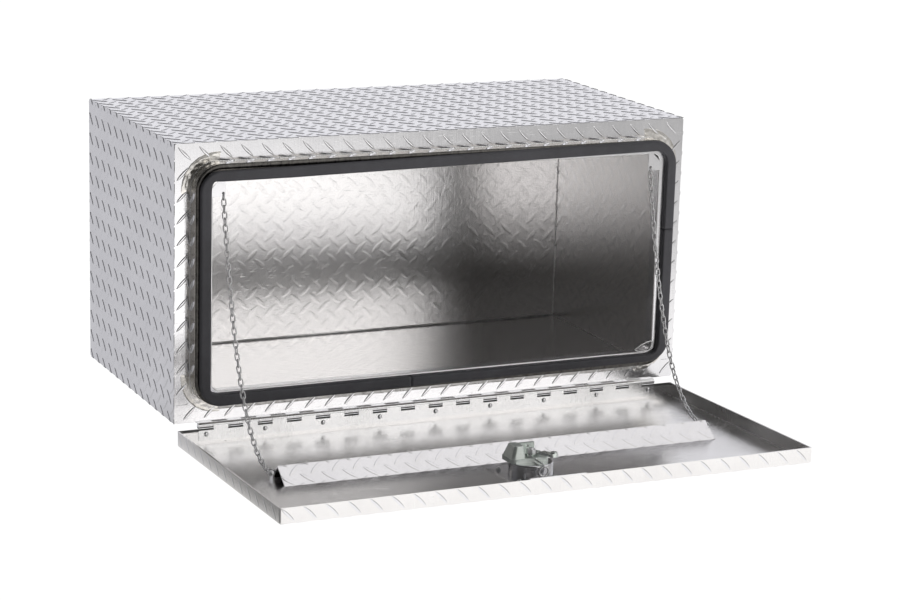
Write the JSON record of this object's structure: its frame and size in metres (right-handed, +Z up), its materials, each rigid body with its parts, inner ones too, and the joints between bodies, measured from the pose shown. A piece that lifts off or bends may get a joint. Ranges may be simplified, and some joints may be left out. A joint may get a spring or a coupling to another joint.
{
  "type": "truck tool box",
  "caption": "Underbody truck tool box in diamond tread sheet with a sealed drop-down door, continuous hinge, check chains and recessed quarter-turn latch.",
  "frame": {"origin": "centre of the bottom face of the box", "axes": "+X to the right seen from the door side, +Y to the back, +Z up"},
  "size_m": [0.9144, 0.9214, 0.4926],
  "materials": {
    "case_zinc": "passivated zinc",
    "gasket_rubber": "matt",
    "hinge_aluminium": "satin",
    "jamb_aluminium": "mill finish",
    "latch_stainless": "polished",
    "lock_brass": "bright",
    "pin_steel": "bright",
    "rivet_aluminium": "satin",
    "seal_rubber": "matt foam rubber",
    "tread_aluminium": "bright rolled tread",
    "zinc_chain": "bright zinc plate",
    "zinc_steel": "zinc plated"
  },
  "bodies": {
    "box": {"body_wrap": "tread_aluminium", "left_end_panel": "tread_aluminium", "right_end_panel": "tread_aluminium", "front_frame": "tread_aluminium", "door_jamb": "jamb_aluminium", "door_seal": "seal_rubber", "chain_bracket_left": "jamb_aluminium", "chain_bracket_right": "jamb_aluminium", "latch_keeper": "zinc_steel", "hinge_leaf_box": "hinge_aluminium", "hinge_pin": "pin_steel", "hinge_rivets_box": "rivet_aluminium", "chain_left": "zinc_chain", "chain_right": "zinc_chain"},
    "door": {"door_pan": "tread_aluminium", "door_stiffener": "tread_aluminium", "hinge_leaf_door": "hinge_aluminium", "hinge_rivets_door": "rivet_aluminium", "chain_anchor_left": "zinc_steel", "chain_anchor_right": "zinc_steel", "latch_plate": "tread_aluminium", "rim_clip": "tread_aluminium", "latch_dish": "latch_stainless", "latch_gasket": "gasket_rubber", "latch_case": "case_zinc", "latch_screws": "zinc_steel", "latch_nuts": "zinc_steel"},
    "latch": {"spindle": "zinc_steel", "t_handle": "latch_stainless", "spring_washer": "zinc_steel", "cam_washer": "zinc_steel", "cam_lever": "zinc_steel", "cam_nut": "zinc_steel"},
    "lock": {"lock_plug": "lock_brass"}
  },
  "joints": [
    {"name": "door_hinge", "type": "hinge", "parent": "box", "child": "door", "pos_m": [0, -0.2336, -0.00475], "axis": [-1, 0, 0], "range_deg": [0, 88.55], "deforming": ["chain_left", "chain_right"]},
    {"name": "latch_turn", "type": "hinge", "parent": "door", "child": "latch", "pos_m": [0, -0.59669, -0.00386], "axis": [0, 0.0253, 0.9997], "range_deg": [-22.5, 67.5]},
    {"name": "lock_turn", "type": "hinge", "parent": "latch", "child": "lock", "pos_m": [0, -0.59715, -0.02186], "axis": [0, 0.0253, 0.9997], "range_deg": [0, 90]}
  ]
}
